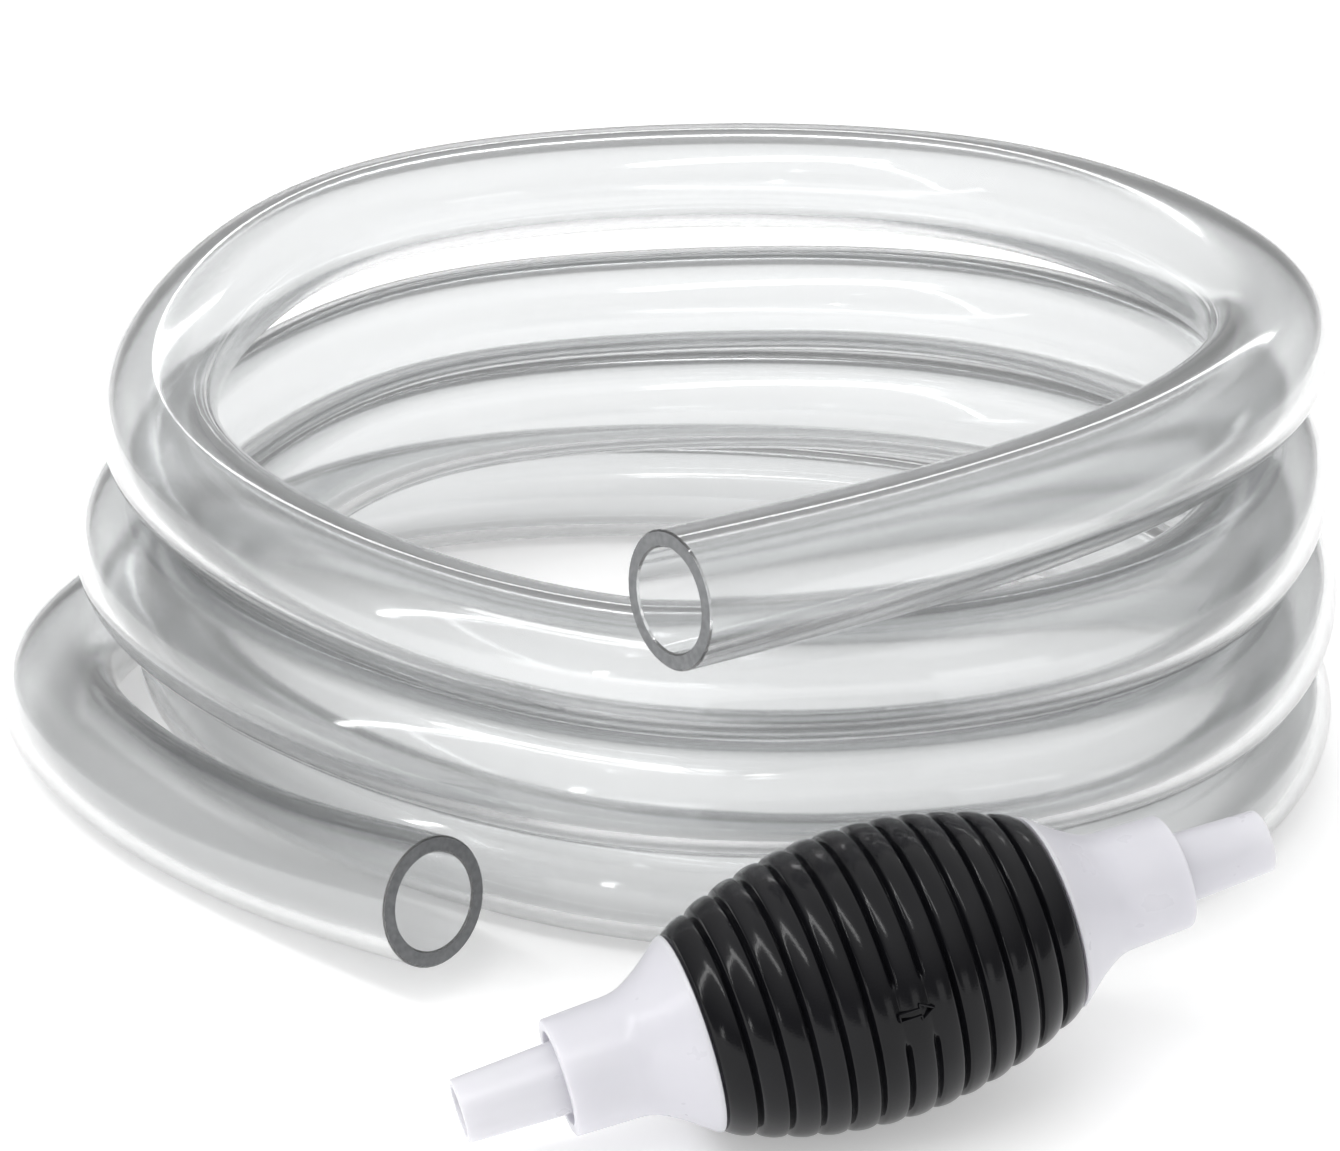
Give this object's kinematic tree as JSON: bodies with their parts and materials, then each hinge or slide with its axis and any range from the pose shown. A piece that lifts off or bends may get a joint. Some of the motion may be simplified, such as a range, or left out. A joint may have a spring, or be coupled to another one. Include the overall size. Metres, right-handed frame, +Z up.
{
  "type": "gravel vacuum siphon",
  "caption": "Aquarium siphon: a ribbed squeeze bulb with one-way valves between two stepped hose nozzles, and a clear hose in a loose coil.",
  "frame": {"origin": "on the floor, under the middle of the pump", "axes": "+X along the pump from its inlet to its outlet, seen from above; +Y from the pump towards the coil; +Z up"},
  "size_m": [0.2453, 0.278, 0.0964],
  "materials": {
    "clear_hose": "clear",
    "black_rubber": "satin",
    "white_plastic": "semi-gloss, slightly translucent",
    "inner_plastic": "satin",
    "grey_silicone": "matt"
  },
  "bodies": {
    "hose": {"hose_upper_end": "clear_hose", "hose_coil": "clear_hose", "hose_lower_end": "clear_hose"},
    "pump": {"squeeze_bulb": "black_rubber", "inlet_housing": "white_plastic", "inlet_nozzle": "white_plastic", "inlet_seal_ring": "grey_silicone", "inlet_valve_seat": "inner_plastic", "outlet_housing": "white_plastic", "outlet_nozzle": "white_plastic", "outlet_seal_ring": "grey_silicone", "outlet_valve_seat": "inner_plastic"},
    "inlet_valve": {"inlet_valve_poppet": "grey_silicone", "inlet_stem_clip": "inner_plastic"},
    "outlet_valve": {"outlet_valve_poppet": "grey_silicone", "outlet_stem_clip": "inner_plastic"}
  },
  "joints": [
    {"name": "pump_lift", "type": "slide", "parent": "hose", "child": "pump", "axis": [0, -0.6, 0.8], "range_m": [0, 0.12]},
    {"name": "inlet_valve_travel", "type": "slide", "parent": "pump", "child": "inlet_valve", "axis": [0.9816, 0, 0.1908], "range_m": [0, 0.0022]},
    {"name": "outlet_valve_travel", "type": "slide", "parent": "pump", "child": "outlet_valve", "axis": [0.9816, 0, 0.1908], "range_m": [0, 0.0022]}
  ]
}
